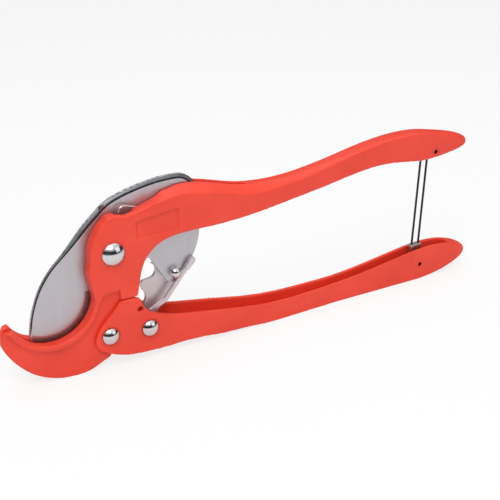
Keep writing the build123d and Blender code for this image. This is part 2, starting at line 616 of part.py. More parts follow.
with BuildPart() as bail_wire:
    with BuildLine(side(0)):
        over, below, past = BAIL_Z + LOOP_R, BAIL_Z - LOOP_R, BAIL_X + LOOP_R
        bail_line = FilletPolyline((LEFT_FOOT_X, foot_z), (LEFT_TOP_X, over), (past, over), (past, below),
                                   (RIGHT_TOP_X, below), (RIGHT_FOOT_X, foot_z), radius=LOOP_R - 0.05)
    with BuildSketch(Plane(origin=bail_line @ 0, z_dir=bail_line % 0)):
        RegularPolygon(WIRE_R, WIRE_FLATS)
    sweep(path=bail_line)
finish(bail_wire, "bail_wire")

catch_reach = hypot(CATCH_X - BAIL_X, CATCH_Z - BAIL_Z) + CROSS_PIN_R + BAIL_PLAY
hook_back = CATCH_X - CROSS_PIN_R - BAIL_PLAY
back_deg = degrees(atan2(CATCH_Z - BAIL_Z, hook_back - BAIL_X)) % 360
tip_deg = degrees(atan2(CATCH_Z - BAIL_Z, HOOK_TIP_X - BAIL_X)) % 360
with BuildPart() as bail_hook:
    with BuildSketch(side(0)):
        with BuildLine():
            Polyline((CLIP_LEFT, CLIP_TOP), (CLIP_RIGHT, CLIP_TOP), (CLIP_RIGHT, CLIP_FOOT), (CLIP_LEFT, CLIP_FOOT),
                     close=True)
        make_face()
    extrude(amount=CLIP_HALF, both=True)
    with BuildSketch(side(0)):
        with BuildLine():
            lip_in = CenterArc((BAIL_X, BAIL_Z), catch_reach, back_deg, tip_deg - back_deg)
            lip_out = CenterArc((BAIL_X, BAIL_Z), catch_reach + HOOK_THICK, back_deg - 1, tip_deg - back_deg + 1)
            Line(lip_in @ 1, lip_out @ 1)
            Polyline(lip_in @ 0, (hook_back, CLIP_FOOT), (hook_back - HOOK_THICK, CLIP_FOOT), lip_out @ 0)
        make_face()
    extrude(amount=CLIP_HALF - 0.6, both=True)
    add(bail_wire.part, mode=Mode.SUBTRACT)
finish(bail_hook, "bail_hook")

with BuildPart() as bail_pin:
    pin_half = GRIP_HALF - CROSS_PIN_SINK
    add(cross_ring(BAIL_X, BAIL_Z, PIN_BORE_R, CROSS_PIN_R, -pin_half, pin_half))
finish(bail_pin, "bail_pin")

with BuildPart() as catch_pin:
    add(cross_ring(CATCH_X, CATCH_Z, PIN_BORE_R, CROSS_PIN_R, -pin_half, pin_half))
finish(catch_pin, "catch_pin")
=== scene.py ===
"""Studio view of the ratchet shear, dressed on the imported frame."""

import json
import math

import bmesh
import bpy
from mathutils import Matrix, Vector


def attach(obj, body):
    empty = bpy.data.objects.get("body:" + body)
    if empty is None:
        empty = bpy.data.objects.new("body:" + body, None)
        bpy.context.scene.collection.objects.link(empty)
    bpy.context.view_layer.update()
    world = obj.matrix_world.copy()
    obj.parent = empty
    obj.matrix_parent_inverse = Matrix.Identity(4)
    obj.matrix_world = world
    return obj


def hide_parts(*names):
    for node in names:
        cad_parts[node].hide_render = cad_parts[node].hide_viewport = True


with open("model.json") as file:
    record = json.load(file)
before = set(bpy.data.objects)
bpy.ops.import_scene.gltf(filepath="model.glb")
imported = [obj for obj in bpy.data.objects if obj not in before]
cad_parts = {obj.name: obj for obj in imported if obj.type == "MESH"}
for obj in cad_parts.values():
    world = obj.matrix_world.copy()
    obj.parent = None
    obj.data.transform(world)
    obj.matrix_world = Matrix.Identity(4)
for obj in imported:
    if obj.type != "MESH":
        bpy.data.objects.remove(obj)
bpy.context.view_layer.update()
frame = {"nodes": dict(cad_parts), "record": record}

nodes = frame["nodes"]

# Camera of the photograph: its places in metres, its lens and sensor in millimetres
CAMERA = Vector((-0.40385, -0.6868, 0.4373))
TARGET = Vector((-0.00725, 0.0, 0.0675))
LENS, SENSOR = 75.6, 36

MM = 0.001
# Main pivot of the blade in the frame, in millimetres; every other place is measured from it
PIVOT_X, PIVOT_Z = -134.0, 98.5
HINGE = (-6.2, -69.2)
DRIVE = (27.6, -71.1)
RIVET = (55.5, -32.5)
# Half thickness of the castings at the body and at the grips, and the taper between them along X
BODY_HALF, GRIP_HALF = 13.0, 8.2
TAPER_START, TAPER_END = 95.0, 215.0
FACE_Y = -BODY_HALF


def material(name):
    """New node material, with its node tree and its shader."""
    mat = bpy.data.materials.new(name)
    mat.use_nodes = True
    tree = mat.node_tree
    shader = tree.nodes["Principled BSDF"]
    return mat, tree, shader


def put(tree, kind, **values):
    """New node, each value set on the node itself or else on its socket of that name."""
    node = tree.nodes.new(kind)
    for key, value in values.items():
        if key in node.inputs and not hasattr(node, key):
            node.inputs[key].default_value = value
        else:
            setattr(node, key, value)
    return node


def ramp(tree, source, stops):
    """Colours laid along a value, from (place, colour) stops."""
    node = tree.nodes.new("ShaderNodeValToRGB")
    while len(node.color_ramp.elements) < len(stops):
        node.color_ramp.elements.new(0.5)
    for element, (place, colour) in zip(node.color_ramp.elements, stops):
        element.position = place
        element.color = (*colour, 1)
    tree.links.new(source, node.inputs["Fac"])
    return node.outputs["Color"]


def grey(value):
    return value, value, value


def stretched(tree, stretch, **noise):
    """Noise over object coordinates scaled along each axis."""
    coords = put(tree, "ShaderNodeTexCoord")
    mapping = put(tree, "ShaderNodeMapping")
    mapping.inputs["Scale"].default_value = stretch
    tree.links.new(coords.outputs["Object"], mapping.inputs["Vector"])
    node = put(tree, "ShaderNodeTexNoise", **noise)
    tree.links.new(mapping.outputs["Vector"], node.inputs["Vector"])
    return node.outputs["Fac"]


def bump(tree, shader, height, distance, strength):
    """Lets a height pattern tilt the shader's normal."""
    node = put(tree, "ShaderNodeBump", Distance=distance, Strength=strength)
    tree.links.new(height, node.inputs["Height"])
    tree.links.new(node.outputs["Normal"], shader.inputs["Normal"])


def coated(name, colours, roughness):
    """Powder coat: slight drift in colour, orange-peel skin and a gloss that varies a little."""
    mat, tree, shader = material(name)
    drift = stretched(tree, (9, 9, 9), Scale=4.0, Detail=3.0)
    tree.links.new(ramp(tree, drift, [(0.3, colours[0]), (0.7, colours[1])]), shader.inputs["Base Color"])
    sheen = stretched(tree, (30, 30, 30), Scale=6.0, Detail=4.0)
    tree.links.new(ramp(tree, sheen, [(0.3, grey(roughness - 0.05)), (0.7, grey(roughness + 0.06))]),
                   shader.inputs["Roughness"])
    peel = stretched(tree, (1, 1, 1), Scale=650.0, Detail=2.0)
    bump(tree, shader, peel, 0.0003, 0.22)
    shader.inputs["Specular IOR Level"].default_value = 0.4
    shader.inputs["Coat Weight"].default_value = 0.08
    shader.inputs["Coat Roughness"].default_value = 0.28
    return mat


def steel(name, tone, roughness, stretch, scale=1.0, depth=0.25, contrast=1.0, metal=1.0):
    """Ground or drawn steel whose fine lines run along the axis with the smallest stretch."""
    mat, tree, shader = material(name)
    lines = stretched(tree, stretch, Scale=scale, Detail=6.0, Roughness=0.6)
    low = tuple(c * (1 - 0.07 * contrast) for c in tone)
    high = tuple(min(1.0, c * (1 + 0.05 * contrast)) for c in tone)
    tree.links.new(ramp(tree, lines, [(0.3, low), (0.7, high)]), shader.inputs["Base Color"])
    tree.links.new(ramp(tree, lines, [(0.25, grey(roughness - 0.05 * contrast)),
                                      (0.75, grey(roughness + 0.07 * contrast))]), shader.inputs["Roughness"])
    shader.inputs["Metallic"].default_value = metal
    bump(tree, shader, lines, 0.0001, depth)
    return mat


def dark_oxide_and_shade(name):
    """Black oxide or hardening scale, a little blotchy; on the blade's back the same dark colour is painted
    shade.
    """
    mat, tree, shader = material(name)
    patch = stretched(tree, (1, 1, 1), Scale=240.0, Detail=4.0)
    tree.links.new(ramp(tree, patch, [(0.3, (0.012, 0.012, 0.014)), (0.75, (0.035, 0.034, 0.034))]),
                   shader.inputs["Base Color"])
    tree.links.new(ramp(tree, patch, [(0.3, grey(0.3)), (0.7, grey(0.45))]), shader.inputs["Roughness"])
    shader.inputs["Metallic"].default_value = 0.6
    bump(tree, shader, patch, 0.0001, 0.2)
    return mat


CAST = coated("cast_paint", [(0.76, 0.044, 0.019), (0.83, 0.056, 0.026)], 0.46)
BLADE = steel("blade_steel", (0.50, 0.49, 0.52), 0.36, (150, 30, 22), contrast=0.5, metal=0.8)
LINK = steel("link_steel", (0.62, 0.58, 0.60), 0.40, (120, 60, 60), contrast=0.5, metal=0.7)
CHROME = steel("plated_head", (0.64, 0.63, 0.64), 0.11, (60, 60, 60), depth=0.05)
BRONZE = steel("bearing_bronze", (0.58, 0.40, 0.18), 0.36, (60, 400, 60))
WASHER = steel("washer_steel", (0.52, 0.52, 0.53), 0.32, (90, 90, 90))
SPRING = steel("spring_wire", (0.55, 0.51, 0.48), 0.22, (120, 120, 120))
PIN = steel("pin_steel", (0.02, 0.014, 0.013), 0.5, (120, 120, 120))
BLACK = dark_oxide_and_shade("black_wire")
SPINE_TOP = steel("spine_steel", (0.17, 0.17, 0.19), 0.42, (90, 90, 90), metal=0.8)
# Painted shade: a dark band along the near edge of the blade's back, not a finish of the steel
SPINE_PAINTED_SHADE = dark_oxide_and_shade("spine_painted_shade")

FINISHES = {
    "cast_paint": CAST, "blade_steel": BLADE, "link_steel": LINK, "plated_head": CHROME,
    "bearing_bronze": BRONZE, "washer_steel": WASHER, "roller_steel": WASHER,
    "spring_wire": SPRING, "pin_steel": PIN, "black_wire": BLACK,
}
for part in frame["record"]["subparts"]:
    finish = FINISHES[part["material_slot"]]
    for place in nodes[part["node"]].material_slots:
        place.material = finish


def local(vert):
    """A vertex's place from the pivot, in millimetres."""
    return vert.co.x / MM - PIVOT_X, vert.co.y / MM, vert.co.z / MM - PIVOT_Z


def placed(x, y, z):
    """The point in metres of a place in millimetres from the pivot."""
    return (PIVOT_X + x) * MM, y * MM, (PIVOT_Z + z) * MM


def add_object(name, mesh, body, slot, *replaced):
    """Puts a new mesh on a body, in that slot's finish, in place of the named nodes."""
    obj = bpy.data.objects.new(name, mesh)
    bpy.context.scene.collection.objects.link(obj)
    if not obj.data.materials:
        obj.data.materials.append(FINISHES[slot])
    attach(obj, body)
    if replaced:
        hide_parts(*replaced)


def evaluated_mesh(obj):
    """Mesh of an object with its modifiers applied, the object itself removed."""
    mesh = bpy.data.meshes.new_from_object(obj.evaluated_get(bpy.context.evaluated_depsgraph_get()))
    bpy.data.objects.remove(obj)
    return mesh


def remeshed(mesh, voxel, passes):
    """The mesh rebuilt on a grid of that size, then smoothed."""
    obj = bpy.data.objects.new("rounding", mesh)
    bpy.context.scene.collection.objects.link(obj)
    remesh = obj.modifiers.new("remesh", "REMESH")
    remesh.mode = "VOXEL"
    remesh.voxel_size = voxel * MM
    if passes:
        smooth = obj.modifiers.new("smooth", "SMOOTH")
        smooth.factor = 0.5
        smooth.iterations = passes
    return evaluated_mesh(obj)


# Grid before and after a casting is shaped; the second, with its smoothing, rounds the edges
FIRST_GRID, LAST_GRID, SMOOTH_PASSES = 0.8, 0.75, 5


def rounded_mesh(mesh, name, shape):
    """A casting's mesh, eased to the moulded outline and with its edges rounded."""
    mesh = remeshed(mesh, FIRST_GRID, 0)
    shape(mesh)
    mesh = remeshed(mesh, LAST_GRID, SMOOTH_PASSES)
    mesh.name = name
    for face in mesh.polygons:
        face.use_smooth = True
    mesh.materials.clear()
    mesh.materials.append(CAST)
    return mesh


def ease(value):
    """Smooth step from 0 to 1."""
    value = min(max(value, 0.0), 1.0)
    return value * value * (3 - 2 * value)


def between(table, x):
    """Value at x on straight runs through (x, value, ...) rows."""
    if x <= table[0][0]:
        return table[0][1:]
    for one, two in zip(table, table[1:]):
        if x <= two[0]:
            share = (x - one[0]) / (two[0] - one[0])
            return tuple(a + (b - a) * share for a, b in zip(one[1:], two[1:]))
    return table[-1][1:]


def envelope(mesh, from_x):
    """Lowest and highest Z of the mesh at each whole millimetre of X past from_x."""
    rows = {}
    for vert in mesh.vertices:
        x, _, z = local(vert)
        if x > from_x - 1:
            key = round(x)
            low, high = rows.get(key, (z, z))
            rows[key] = (min(low, z), max(high, z))
    return [(key, *rows[key]) for key in sorted(rows)]


# Least height that a row of a handle's end counts with
THINNEST = 0.1


def shape_nose(mesh, start, end, set_back, tip_z, top_power, low_power):
    """Closes a handle's end to a rounded nose between two X, set back at its corners seen from above.

    The powers say how full the nose is above and below its tip.
    """
    rows = envelope(mesh, start)
    reach = rows[-1][0]
    start_low, start_high = between(rows, start)
    for vert in mesh.vertices:
        x, y, z = local(vert)
        if x <= start:
            continue
        along = min((x - start) / (reach - start), 1)
        low, high = between(rows, x)
        share = (z - low) / max(high - low, THINNEST)
        to_high = tip_z + (start_high - tip_z) * (1 - along) ** top_power
        to_low = tip_z - (tip_z - start_low) * (1 - along) ** low_power
        vert.co.x = (PIVOT_X + start + along * (end - set_back * (y / GRIP_HALF) ** 2 - start)) * MM
        vert.co.z = (PIVOT_Z + to_low + share * (to_high - to_low)) * MM


# Crown of the upper handle: at each X, the height of the near face's top edge and of the crown line
CROWN = [(36, 40.0, 40.0), (43, 37.0, 40.6), (62, 36.2, 42.3), (76, 34.6, 41.7), (92, 31.4, 37.6),
         (107, 27.6, 33.5), (128, 23.6, 29.9), (156, 25.6, 29.3), (188, 30.2, 33.0), (225, 38.4, 39.4),
         (262, 44.2, 44.7), (300, 43.8, 44.6), (326, 37.8, 39.4), (360, 27.0, 28.6)]
CROWN_HALF, CROWN_ROOT = 4.2, 15.0
# How far the body's front flank stands back, by height, fading in behind its edge
FLANK_BACK = [(-15, 0.0), (-13, 0.8), (-3, 3.6), (8, 4.0), (18, 4.0), (26.5, 3.2), (31, 1.0)]
FLANK_EDGE, FLANK_RUN = -1, 7
# Where the far wall's shoulder falls away behind the blade, and how far
SHOULDER_Y, SHOULDER_X, SHOULDER_Z = 2, 12, -12
SHOULDER_RUN, SHOULDER_RISE, SHOULDER_EASE = 16, 14, 4.0
UPPER_NOSE = {"start": 318.0, "end": 350.7, "set_back": 6.0, "tip_z": 27.8,
              "top_power": 0.44, "low_power": 0.45}
LOWER_NOSE = {"start": 332.0, "end": 358.3, "set_back": 3.5, "tip_z": -79.6,
              "top_power": 0.42, "low_power": 0.46}


def shape_frame(mesh):
    """Bevels the crown, sets back the flank and the far shoulder and closes the upper handle's end."""
    tops = envelope(mesh, CROWN[0][0])
    for vert in mesh.vertices:
        x, y, z = local(vert)
        if x > CROWN[0][0] and z > 0 and abs(y) > CROWN_HALF:
            low, high = between(CROWN, x)
            taper = min(max((x - TAPER_START) / (TAPER_END - TAPER_START), 0), 1)
            half = BODY_HALF + (GRIP_HALF - BODY_HALF) * taper
            drop = (high - low) * (abs(y) - CROWN_HALF) / (half - CROWN_HALF)
            root = between(tops, x)[1] - CROWN_ROOT
            if z > root:
                vert.co.z = (PIVOT_Z + root + (z - root) * (CROWN_ROOT - drop) / CROWN_ROOT) * MM
        if x < FLANK_EDGE and z > FLANK_BACK[0][0]:
            vert.co.x += between(FLANK_BACK, z)[0] * ease((FLANK_EDGE - x) / FLANK_RUN) * MM
        if y > SHOULDER_Y and x < SHOULDER_X and z > SHOULDER_Z:
            away = ease((SHOULDER_X - x) / SHOULDER_RUN) * ease((z - SHOULDER_Z) / SHOULDER_RISE)
            vert.co.x += SHOULDER_EASE * away * MM
    shape_nose(mesh, **UPPER_NOSE)


# How far the lower handle's belly is drawn up along X, and the height that stays
BELLY = [(8, 0.0), (33, 2.7), (46, 3.7), (60, 4.6), (73, 4.6), (86, 3.7), (100, 2.7), (113, 2.3), (127, 1.4),
         (142, 0.0)]
BELLY_TOP = -55.0
# Remeshing narrows the small casting hole through the cheeks, so it is opened first
CHEEK_HOLE, HOLE_REACH, HOLE_GROWTH = (20.2, -52.5), 2.0, 1.4


def open_hole(mesh):
    """Moves the hole's rim outwards, in both cheeks."""
    for vert in mesh.vertices:
        x, z = vert.co.x - (PIVOT_X + CHEEK_HOLE[0]) * MM, vert.co.z - (PIVOT_Z + CHEEK_HOLE[1]) * MM
        if math.hypot(x, z) < HOLE_REACH * MM:
            vert.co.x += (HOLE_GROWTH - 1) * x
            vert.co.z += (HOLE_GROWTH - 1) * z
    return mesh


def shape_lower(mesh):
    """Draws up the belly and closes the lower handle's end."""
    rows = envelope(mesh, BELLY[0][0])
    for vert in mesh.vertices:
        x, _, z = local(vert)
        if BELLY[0][0] < x < BELLY[-1][0]:
            low, high = between(rows, x)
            high = min(high, BELLY_TOP)
            if z < high:
                vert.co.z += between(BELLY, x)[0] * ease((high - z) / (high - low)) * MM
    shape_nose(mesh, **LOWER_NOSE)


# Blank panel sunk in the near face of the body
PANEL_LEFT, PANEL_RIGHT = 20.0, 56.5
PANEL_LOW, PANEL_HIGH, PANEL_RISE = 7.5, 22.6, 0.11
PANEL_DEPTH, PANEL_EDGE = 1.8, 0.7


def panel_depth(x, z):
    """Depth of the panel under a place of the near face, its top edge rising with X."""
    high = PANEL_HIGH + PANEL_RISE * (x - PANEL_LEFT)
    inner = min(x - PANEL_LEFT, PANEL_RIGHT - x, z - PANEL_LOW, high - z)
    return PANEL_DEPTH * ease(inner / PANEL_EDGE)


# Low moulded rings: one round each head of the lower handle, and an arc that fades in below the drive pin
RING_R, RING_WIDTH, RING_RISE = 8.7, 1.0, 0.7
ARC_R, ARC_TOP, ARC_RUN = 11.8, -4, 5


def ring_rise(x, z):
    """Height of the rings over a place of the near face."""
    rise = 0
    for centre in (HINGE, DRIVE):
        rise += ease(1 - abs(math.hypot(x - centre[0], z - centre[1]) - RING_R) / RING_WIDTH)
    off_x, off_z = x - DRIVE[0], z - DRIVE[1]
    rise += ease((ARC_TOP - off_z) / ARC_RUN) * ease(1 - abs(math.hypot(off_x, off_z) - ARC_R) / RING_WIDTH)
    return RING_RISE * rise


# How far behind its plane a vertex still belongs to the near face
FACE_SKIN = 0.25


def press_near_face(mesh, depth_at):
    """Moves the vertices of the near face by a depth in millimetres that depends on X and Z."""
    for vert in mesh.vertices:
        if vert.co.y < (FACE_Y + FACE_SKIN) * MM:
            x, _, z = local(vert)
            vert.co.y += MM * depth_at(x, z)


body_mesh = rounded_mesh(nodes["frame_casting"].data.copy(), "frame_casting_cast", shape_frame)
press_near_face(body_mesh, panel_depth)
add_object("body_cast", body_mesh, "frame", "cast_paint", "frame_casting")
grip_mesh = rounded_mesh(open_hole(nodes["lower_handle"].data.copy()), "lower_handle_cast", shape_lower)
press_near_face(grip_mesh, lambda x, z: -ring_rise(x, z))
add_object("grip_cast", grip_mesh, "lower_handle", "cast_paint", "lower_handle")


LATHE_STEPS = 64
# Turned edges over this angle stay sharp
SHARP = math.radians(40)


def lathe(name, profile, centre, body, slot, *replaced):
    """Solid turned about a cross axis: profile is (radius, y) in millimetres from tip to tip."""
    maker = bmesh.new()
    centre_x, centre_z = centre
    rings = []
    for radius, y in profile:
        turns = [2 * math.pi * step / LATHE_STEPS for step in range(LATHE_STEPS)] if radius else [0]
        rings.append([maker.verts.new(placed(centre_x + radius * math.cos(turn), y,
                                             centre_z + radius * math.sin(turn))) for turn in turns])
    for one, two in zip(rings, rings[1:]):
        for step in range(LATHE_STEPS):
            after = (step + 1) % LATHE_STEPS
            if len(one) == 1:
                maker.faces.new((one[0], two[step], two[after]))
            elif len(two) == 1:
                maker.faces.new((one[step], two[0], one[after]))
            else:
                maker.faces.new((one[step], two[step], two[after], one[after]))
    bmesh.ops.recalc_face_normals(maker, faces=maker.faces)
    for face in maker.faces:
        face.smooth = True
    for edge in maker.edges:
        if len(edge.link_faces) == 2 and edge.calc_face_angle() > SHARP:
            edge.smooth = False
    mesh = bpy.data.meshes.new(name)
    maker.to_mesh(mesh)
    maker.free()
    add_object(name, mesh, body, slot, *replaced)


# Rim of a domed head: its height, the easing into the dome and the broken edge at the seat
RIM, RIM_EASE, RIM_LIFT, RIM_FALL, RIM_BREAK = 1.0, 0.12, 0.08, 0.225, 0.15
DOME_STEPS = 15
BOLT_TAIL, BOLT_CHAMFER = 5.8, 0.8


def dome(radius, height, seat, sense):
    """Profile of a domed head from its pole to its seat, with a rounded rim."""
    rise = height - RIM
    ball = (radius**2 + rise**2) / (2 * rise)
    span = math.asin(min(1, radius / ball))
    points = []
    for step in range(DOME_STEPS):
        turn = span * step / DOME_STEPS
        points.append((ball * math.sin(turn), seat + sense * (height - ball * (1 - math.cos(turn)))))
    points += [(radius - RIM_EASE, seat + sense * (RIM + RIM_LIFT)),
               (radius, seat + sense * (RIM - RIM_FALL)),
               (radius, seat + sense * RIM_BREAK), (radius - RIM_BREAK, seat)]
    return points


def bolt(name, centre, node, body, radius, height, shank):
    """Domed bolt through both castings, its end standing out on the far side."""
    end = -FACE_Y + BOLT_TAIL
    profile = dome(radius, height, FACE_Y, -1)
    profile += [(shank, FACE_Y), (shank, end - BOLT_CHAMFER), (shank - BOLT_CHAMFER, end), (0, end)]
    lathe(name, profile, centre, body, "plated_head", node)


bolt("pivot_head", (0, 0), "pivot_bolt", "frame", radius=9.7, height=6.0, shank=5.0)
bolt("hinge_head", HINGE, "hinge_bolt", "lower_handle", radius=7.2, height=4.8, shank=4.0)
bolt("drive_head", DRIVE, "drive_pin", "lower_handle", radius=7.2, height=4.8, shank=3.0)
# Link rivet: near head on a flange and a collar that reaches the tang, shank, and a low far head
RIVET_SEAT, TANG_FACE, RIVET_TAIL = -5.9, -2.0, 5.4
RIVET_R, RIVET_RISE, RIVET_FAR_RISE, SHANK_R = 3.9, 2.8, 1.5, 2.5
FLANGE_R, FLANGE_NEAR, FLANGE_FAR, FLANGE_FOOT = 4.6, 0.3, 0.5, 0.9
rivet_profile = dome(RIVET_R, RIVET_RISE, RIVET_SEAT, -1)[:-2]
rivet_profile += [(FLANGE_R, RIVET_SEAT - FLANGE_NEAR), (FLANGE_R, RIVET_SEAT + FLANGE_FAR),
                  (RIVET_R, RIVET_SEAT + FLANGE_FOOT), (RIVET_R, TANG_FACE), (SHANK_R, TANG_FACE),
                  (SHANK_R, RIVET_TAIL)]
rivet_profile += reversed(dome(RIVET_R, RIVET_FAR_RISE, RIVET_TAIL, 1))
lathe("link_rivet_head", rivet_profile, RIVET, "blade", "plated_head", "link_rivet", "link_washer")


def tube(name, points, radius, body, slot, node):
    """Round wire along a path of (x, y, z) in millimetres from the pivot."""
    data = bpy.data.curves.new(name, "CURVE")
    data.dimensions = "3D"
    data.bevel_depth = radius * MM
    data.bevel_resolution = 4
    data.use_fill_caps = True
    line = data.splines.new("POLY")
    line.points.add(len(points) - 1)
    for point, place in zip(line.points, points):
        point.co = (*placed(*place), 1)
    obj = bpy.data.objects.new(name, data)
    bpy.context.scene.collection.objects.link(obj)
    mesh = evaluated_mesh(obj)
    for face in mesh.polygons:
        face.use_smooth = True
    mesh.name = name
    add_object(name, mesh, body, slot, node)


def eased_path(points, cuts=8):
    """Smooth line through the points, by Catmull-Rom."""
    path = []
    for k in range(len(points) - 1):
        a, b, c, d = (Vector(points[min(max(k + j, 0), len(points) - 1)]) for j in (-1, 0, 1, 2))
        for step in range(cuts):
            t = step / cuts
            path.append(0.5 * (2 * b + (c - a) * t + (2 * a - 5 * b + 4 * c - d) * t**2
                               + (3 * b - a - 3 * c + d) * t**3))
    path.append(Vector(points[-1]))
    return path


# Blade spring: free end curled out of the body, coil round the hub, leg on the stud
SPRING_Y, SPRING_R, SPRING_PITCH, SPRING_TURNS = -5.8, 10.5, 1.5, 1.75
SPRING_WIRE_R, COIL_STEPS = 0.8, 21
CURL = [(22.4, 31.8), (14.6, 34.2), (10.4, 33.6), (8.6, 30.4), (9.4, 26), (10.2, 18)]
LEG = [8.7, 17.4]
coil = []
for step in range(COIL_STEPS + 1):
    turn = -2 * math.pi * SPRING_TURNS * step / COIL_STEPS
    coil.append((SPRING_R * math.cos(turn), SPRING_Y + SPRING_PITCH * SPRING_TURNS * step / COIL_STEPS,
                 SPRING_R * math.sin(turn)))
spring_end = SPRING_Y + SPRING_PITCH * SPRING_TURNS
spring_points = [(x, SPRING_Y, z) for x, z in CURL] + coil + [(x, spring_end, SPRING_R) for x in LEG]
tube("blade_spring_wire", eased_path(spring_points), SPRING_WIRE_R, "frame", "spring_wire",
     "blade_return_spring")


# Two corners closer in depth than this, in metres, are on the same face of a plate
SAME_DEPTH = 1e-6


def plate(name, outline, near, far, chamfer, body, slot, *replaced):
    """Flat plate in a cross plane from an outline of (x, z) about the pivot, its edges chamfered."""
    maker = bmesh.new()
    ring = [maker.verts.new(placed(x, near, z)) for x, z in outline]
    face = maker.faces.new(ring)
    grown = bmesh.ops.extrude_face_region(maker, geom=[face])
    for item in grown["geom"]:
        if isinstance(item, bmesh.types.BMVert):
            item.co.y = far * MM
    bmesh.ops.recalc_face_normals(maker, faces=maker.faces)
    rim = [edge for edge in maker.edges if abs(edge.verts[0].co.y - edge.verts[1].co.y) < SAME_DEPTH]
    bmesh.ops.bevel(maker, geom=rim, offset=chamfer * MM, offset_type="OFFSET", segments=2, profile=0.5,
                    affect="EDGES", clamp_overlap=True)
    mesh = bpy.data.meshes.new(name)
    maker.to_mesh(mesh)
    maker.free()
    add_object(name, mesh, body, slot, *replaced)


def arc(x, z, radius, start, end, steps=10):
    """Points on a circle from start to end, in degrees."""
    turns = [math.radians(start + (end - start) * step / steps) for step in range(steps + 1)]
    return [(x + radius * math.cos(turn), z + radius * math.sin(turn)) for turn in turns]


def band(path, half):
    """Outline of a flat strip of one width along a path, with mitred bends."""
    left, right = [], []
    for index, (x, z) in enumerate(path):
        before, after = path[max(index - 1, 0)], path[min(index + 1, len(path) - 1)]
        legs = [(a, b) for a, b in ((before, (x, z)), ((x, z), after)) if a != b]
        turns = [math.atan2(b[1] - a[1], b[0] - a[0]) for a, b in legs]
        turn = sum(turns) / len(turns)
        reach = half / math.cos(turn - turns[0])
        left.append((x - reach * math.sin(turn), z + reach * math.cos(turn)))
        right.append((x + reach * math.sin(turn), z - reach * math.cos(turn)))
    return left + right[::-1]


# Release bar: a narrow strip from the thumb tab to the knee and on to its heel, and a pad from there to
# the bridge
BAR_NEAR, BAR_FAR, BAR_HALF, BAR_CHAMFER = -5.2, -2.4, 1.9, 0.5
TAB, KNEE, HEEL, BRIDGE = (70.0, -24.6), (45.9, -54.0), (32.4, -61.2), (36.7, -69.0)
PAD_HALF, PAD_STEP, PAD_CHAMFER = 2.8, 0.2, 0.3
plate("release_strip", band([TAB, KNEE, HEEL], BAR_HALF), BAR_NEAR, BAR_FAR, BAR_CHAMFER,
      "link", "link_steel", "release_bar")
plate("release_pad", band([HEEL, BRIDGE], PAD_HALF), BAR_NEAR + PAD_STEP, BAR_FAR - PAD_STEP,
      PAD_CHAMFER, "link", "link_steel")

# Thumb tab: the strip's end bent over, a longer and wider loop that stands out towards the near side
TAB_R, TAB_NARROWING, TAB_LENGTH, TAB_LIFT, TAB_CHAMFER, TAB_SPREAD = 2.9, 0.6, 7.0, 1.2, 0.8, 95
up = math.degrees(math.atan2(TAB[1] - KNEE[1], TAB[0] - KNEE[0]))
tab_root = (TAB[0] - TAB_LENGTH * math.cos(math.radians(up)),
            TAB[1] - TAB_LENGTH * math.sin(math.radians(up)))
tab_outline = arc(*TAB, TAB_R, up - TAB_SPREAD, up + TAB_SPREAD)
tab_outline += arc(*tab_root, TAB_R - TAB_NARROWING, up + TAB_SPREAD, up + 360 - TAB_SPREAD)
plate("thumb_tab", tab_outline, BAR_NEAR - TAB_LIFT, BAR_FAR, TAB_CHAMFER, "link", "link_steel")

# Clip at the foot of the bail: folded sheet round both wires, its lip under the catch pin
CLIP = [(296.2, -66.0), (297.2, -64.8), (307.4, -64.8), (308.4, -66.0), (308.4, -75.2), (307.4, -76.2),
            (301.4, -76.2), (301.4, -83.6), (302.2, -85.2), (304.0, -86.0), (306.0, -85.6), (306.6, -87.2),
            (304.0, -87.9), (301.0, -86.9), (299.6, -84.4), (299.4, -76.2), (297.2, -76.2), (296.2, -75.2)]
CLIP_HALF, CLIP_CHAMFER = 2.6, 0.45
plate("bail_clip", CLIP, -CLIP_HALF, CLIP_HALF, CLIP_CHAMFER, "bail", "washer_steel", "bail_hook")

# Blade: a copy with a pale bevel along its back and a band of painted shade inside the bevel
BLADE_FINISHES = [BLADE, SPINE_PAINTED_SHADE, SPINE_TOP]
SHADE_BAND_INDEX, PALE_INDEX = 1, 2
WELD, LEVEL, FLAT, CORNER = 1e-6, 1e-5, math.radians(0.5), math.radians(60)
# The back lies above a line up to the crown and above a height from there, between a lowest Z and a last X
BACK_SLOPE, BACK_RISE, CROWN_X, CROWN_Z = 0.92, 6, 6, 37
BACK_LOW_Z, BACK_LAST_X = -58.0, 76.5
# Size of the first bevel, the reach of its pale part and of the band in such sizes, and how far under the
# face the pale part ends
BEVEL, PALE_WIDTH, SHADE_BAND_WIDTH, BEVEL_DROP = 1.1, 2.0, 3.4, 0.12
# The bevel and the band grow to their full width over this height
WIDE_FROM_Z, WIDE_RUN = -6.0, 26.0
# Rows of the bevel, and the share of its depth where the first two end
ON_FACE, IN_BEVEL, ON_BACK = range(3)
FACE_SHARE, MIDDLE_SHARE = 0.1, 0.6


def back_edges(maker):
    """Long edges of the plate along the blade's back, on both faces."""
    found = []
    for edge in maker.edges:
        if len(edge.link_faces) != 2 or edge.calc_face_angle() < CORNER:
            continue
        middle = (edge.verts[0].co + edge.verts[1].co) / 2
        x, z = middle.x / MM - PIVOT_X, middle.z / MM - PIVOT_Z
        level = abs(edge.verts[0].co.y - edge.verts[1].co.y) < LEVEL
        outside = z > BACK_SLOPE * x + BACK_RISE if x < CROWN_X else z > CROWN_Z
        if level and outside and z > BACK_LOW_Z and x < BACK_LAST_X:
            found.append(edge)
    return found


def bevel_row(vert, half):
    """Which row of the bevel a vertex is in, by how far it lies under the plate's face."""
    depth = (half - abs(vert.co.y)) / (BEVEL * MM)
    return ON_FACE if depth < FACE_SHARE else IN_BEVEL if depth < MIDDLE_SHARE else ON_BACK


